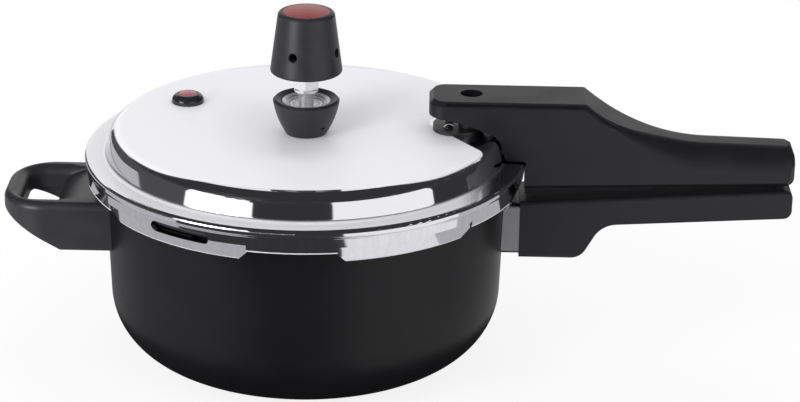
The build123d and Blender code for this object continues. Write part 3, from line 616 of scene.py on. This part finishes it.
def hole_edge_cutter(top):
    """What lies outside the rounding of the hole's top edge, which grows as the web falls."""
    sections = []
    for x, y, out_x, out_y in loop_line(dish_start - dish_run_out, hole_end, hole_half_width, hole_corner):
        radius = min(hole_round, edge_share * dish_depth(max(x, dish_end)))
        section = []
        for j in range(bend_segments + 1):
            angle = math.pi / 2 * j / bend_segments
            section.append((radius - (radius + round_over) * math.cos(angle),
                            top - radius + (radius + round_over) * math.sin(angle)))
        section.append((radius, top + cutter_room))
        section.append((-cutter_room / 2, top + cutter_room))
        section.append((-cutter_room / 2, top - radius))
        sections.append([(x + out_x * out, y + out_y * out, z) for out, z in section])
    return swept("hole_edge_cutter", sections)


def hollow_cutter(low, top):
    """The hollow below the lip, inside the loop's outer wall."""
    corner = loop_corner - skirt_wall
    line = loop_line(hollow_end, low[0] + skirt_wall, -low[1] - skirt_wall, corner)
    heights = (low[2] - cutter_room, top - lip_depth)
    return swept("hollow_cutter", [[(x, y, z) for x, y, out_x, out_y in line] for z in heights])


def dished_helper():
    """The helper handle with its web falling to the hole in a curve, in place of the solid."""
    low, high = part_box("helper_handle")
    top = high[2]
    web = [(x, z + dish_spare) for x, z in dish_line(web_head, dish_end, top)]
    web += [(dish_end, top - lip_depth), (web_foot, web_foot_height)]
    past = dish_end - dish_run_out
    dish = [(x, z + round_over) for x, z in dish_line(dish_start, past, top)]
    dish += [(past, top + cutter_room), (dish_start, top + cutter_room)]
    steps = [
        ("UNION", across("web_filler", web, hole_half_width + web_overlap)),
        ("DIFFERENCE", across("dish_cutter", dish, hole_half_width + round_over)),
        ("DIFFERENCE", hole_edge_cutter(top)),
        ("DIFFERENCE", hollow_cutter(low, top)),
    ]
    blank = joined_copy(frame["nodes"]["helper_handle"], "helper_blank")
    helper = reshaped("helper_handle_dished", blank, steps, own_finishes["helper_handle"])
    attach(helper, "pot")
    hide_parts("helper_handle")


dished_helper()


# Studio helpers

def flat_shader(name, colour, strength):
    """A card of one even brightness."""
    material, tree = bare_material(name)
    glow = tree.nodes.new("ShaderNodeEmission")
    put(tree, glow.inputs["Color"], colour)
    put(tree, glow.inputs["Strength"], strength)
    show(tree, glow)
    return material


def seen_rays(tree):
    """1 for what the eye sees, also in polished metal and through glass, and 0 for what lights the object."""
    rays = tree.nodes.new("ShaderNodeLightPath").outputs
    seen = math_node(tree, "MAXIMUM", rays["Is Camera Ray"], rays["Is Glossy Ray"])
    return math_node(tree, "MAXIMUM", seen, rays["Is Transmission Ray"])


def add_mesh(name, points, faces, material):
    mesh = bpy.data.meshes.new(name)
    mesh.from_pydata(points, [], faces)
    mesh.update()
    mesh.materials.append(material)
    piece = bpy.data.objects.new(name, mesh)
    scene.collection.objects.link(piece)
    return piece


def disc(name, radius, height, material, count):
    angles = [2 * math.pi * i / count for i in range(count)]
    ring = [(radius * math.cos(angle), radius * math.sin(angle), height) for angle in angles]
    return add_mesh(name, ring, [tuple(range(count))], material)


def only_reflected(piece):
    """Cards show in polished metal alone: they cast no shadow and the camera doesn't see them."""
    piece.visible_camera = False
    piece.visible_diffuse = False
    piece.visible_shadow = False
    piece.visible_transmission = False
    piece.visible_volume_scatter = False


def curved_card(name, azimuths, heights, distance, material):
    """A card bent round the object; azimuth 0 faces the camera and grows to its right, in degrees."""
    steps = 24
    points, faces = [], []
    for i in range(steps + 1):
        azimuth = math.radians(azimuths[0] + (azimuths[1] - azimuths[0]) * i / steps)
        for j in range(steps + 1):
            height = math.radians(heights[0] + (heights[1] - heights[0]) * j / steps)
            reach = distance * math.cos(height)
            rise = card_middle + distance * math.sin(height)
            points.append((reach * math.sin(azimuth), -reach * math.cos(azimuth), rise))
    for i in range(steps):
        for j in range(steps):
            a = i * (steps + 1) + j
            faces.append((a, a + 1, a + steps + 2, a + steps + 1))
    only_reflected(add_mesh(name, points, faces, material))


def floor_card(name, x, y, height, material):
    points = [(x[0], y[0], height), (x[1], y[0], height), (x[1], y[1], height), (x[0], y[1], height)]
    only_reflected(add_mesh(name, points, [(0, 1, 2, 3)], material))


def soft_lamp(name, place, target, size, watts, mirrored=True):
    lamp = bpy.data.lights.new(name, "AREA")
    lamp.shape = "RECTANGLE"
    lamp.size, lamp.size_y = size
    lamp.energy = watts
    holder = bpy.data.objects.new(name, lamp)
    scene.collection.objects.link(holder)
    holder.location = place
    holder.rotation_euler = (Vector(target) - Vector(place)).to_track_quat("-Z", "Y").to_euler()
    holder.visible_glossy = mirrored


# Floor and world

floor_white = 0.86          # how much of the floor is plain white to the eye; the rest holds the shadow
floor_radius = 6.0
floor_height = -0.0004      # just below the foot
world_light = 0.82          # strength as a light, where it is 1 to the eye


def studio_floor():
    """Pale floor: white to the eye and to polished metal, and still holding the object's shadow."""
    material, tree = bare_material("floor_pale")
    matt = tree.nodes.new("ShaderNodeBsdfDiffuse")
    put(tree, matt.inputs["Color"], (0.86, 0.86, 0.87))
    glow = tree.nodes.new("ShaderNodeEmission")
    put(tree, glow.inputs["Strength"], 1.0)
    mixer = tree.nodes.new("ShaderNodeMixShader")
    tree.links.new(math_node(tree, "MULTIPLY", seen_rays(tree), floor_white), mixer.inputs[0])
    tree.links.new(matt.outputs[0], mixer.inputs[1])
    tree.links.new(glow.outputs[0], mixer.inputs[2])
    show(tree, mixer)
    disc("floor", floor_radius, floor_height, material, count=96)


def studio_world():
    """White round the object where it is seen or mirrored, and softer as a light."""
    world = bpy.data.worlds.new("studio")
    scene.world = world
    world.use_nodes = True
    tree = world.node_tree
    tree.nodes.clear()
    sky = tree.nodes.new("ShaderNodeBackground")
    put(tree, sky.inputs["Color"], (1, 1, 1))
    tree.links.new(map_range(tree, seen_rays(tree), rising, (world_light, 1.0)), sky.inputs["Strength"])
    show(tree, sky, "ShaderNodeOutputWorld")


studio_floor()
studio_world()


# Cards that polished metal mirrors

card_middle = 0.1           # height about which the curved cards are bent
card_distance = 1.3
box_distance = 1.31         # the light boxes stand just behind the cards
row_heights = (-4, 26)      # of the row of cards and light boxes round the front, in degrees
ceiling_edge = 32
# radius of the painted shade disc round the foot
foot_shade_radius = 0.125
lower_layer = 0.0003        # heights of the cards on the floor
upper_layer = 0.0006

black_card = flat_shader("card_black", (0.95, 0.95, 1.0), 0.04)
grey_card = flat_shader("card_grey", (0.95, 0.95, 1.0), 0.09)
dim_card = flat_shader("card_floor", (0.95, 0.95, 1.0), 0.045)
half_card = flat_shader("card_half", (0.97, 0.97, 1.0), 0.55)
left_box = flat_shader("box_left", (1, 1, 1), 1.30)
right_box = flat_shader("box_right", (1, 1, 1), 1.08)

row_edges = (-150, -65, -25.5, 17, 75, 150)     # azimuths from the left end of the row to its right end
row_cards = (
    ("card_front_left", card_distance, grey_card),
    ("box_left", box_distance, left_box),
    ("card_front_middle", card_distance, black_card),
    ("box_right", box_distance, right_box),
    ("card_front_right", card_distance, black_card),
)
for start, end, (name, distance, material) in zip(row_edges, row_edges[1:], row_cards):
    curved_card(name, (start, end), row_heights, distance, material)
curved_card("card_front_top", (-130, 130), (row_heights[1], ceiling_edge), card_distance, black_card)
curved_card("card_ceiling", (-180, 180), (ceiling_edge, 90), card_distance, black_card)

floor_card("card_floor", (-0.30, 0.12), (-0.80, -0.20), upper_layer, dim_card)
# painted shade: a dark card on the floor just in front of the foot, for the shade the pot casts there, seen
# in polished metal
floor_card("painted_shade_floor_near", (-0.06, 0.05), (-0.20, -0.11), upper_layer, black_card)
floor_card("card_floor_left", (-1.40, -0.05), (-0.80, 1.00), lower_layer, half_card)
# painted shadow: a grey card on the floor right of the long handle, for its shadow there, seen in polished
# metal
floor_card("painted_shadow_floor_right", (0.145, 0.40), (-0.09, 0.10), lower_layer, half_card)
# painted shadow: a dark card on the floor behind the long handle, for its shadow there, seen in polished
# metal
floor_card("painted_shadow_floor_back", (0.10, 0.40), (0.17, 0.50), lower_layer, black_card)
# painted shade: a dark disc round the foot, for the shade on the floor close round the pot, seen in polished
# metal
only_reflected(disc("painted_shade_foot", foot_shade_radius, upper_layer, black_card, count=64))


# Lamps

pot_middle = (0.0, 0.0, 0.1)
object_middle = (0.05, 0.0, 0.1)
soft_lamp("key_left", (-1.0, -1.0, 1.2), pot_middle, size=(0.8, 0.8), watts=8.5)
soft_lamp("fill_right", (1.2, -0.8, 0.9), object_middle, size=(0.7, 0.9), watts=2.0)
soft_lamp("kicker_left", (-0.80, -0.75, 0.24), (-0.02, 0.0, 0.12), size=(0.5, 0.4), watts=4.0)
soft_lamp("back_top", (0.2, 1.0, 1.5), object_middle, size=(1.2, 0.8), watts=5.0, mirrored=False)


# Camera at the photograph's viewing angle

camera_elevation = math.radians(21.9)
camera_yaw = math.radians(0.8)
camera_roll = math.radians(0.9)
camera_target = Vector((0.0496, 0.0, 0.0799))
camera_distance = 1.4
focal_length = 119.3        # in millimetres, like the sensor
sensor_width = 36.0


def photo_camera():
    level = Vector((-math.sin(camera_yaw), math.cos(camera_yaw), 0))
    forward = level * math.cos(camera_elevation) - Vector((0, 0, math.sin(camera_elevation)))
    right = Vector((math.cos(camera_yaw), math.sin(camera_yaw), 0))
    up = right.cross(forward)
    side = right * math.cos(camera_roll) + up * math.sin(camera_roll)
    top = up * math.cos(camera_roll) - right * math.sin(camera_roll)
    lens = bpy.data.cameras.new("camera")
    lens.sensor_width = sensor_width
    lens.lens = focal_length
    holder = bpy.data.objects.new("camera", lens)
    scene.collection.objects.link(holder)
    place = Matrix((side, top, -forward)).transposed().to_4x4()
    place.translation = camera_target - forward * camera_distance
    holder.matrix_world = place
    scene.camera = holder


photo_camera()
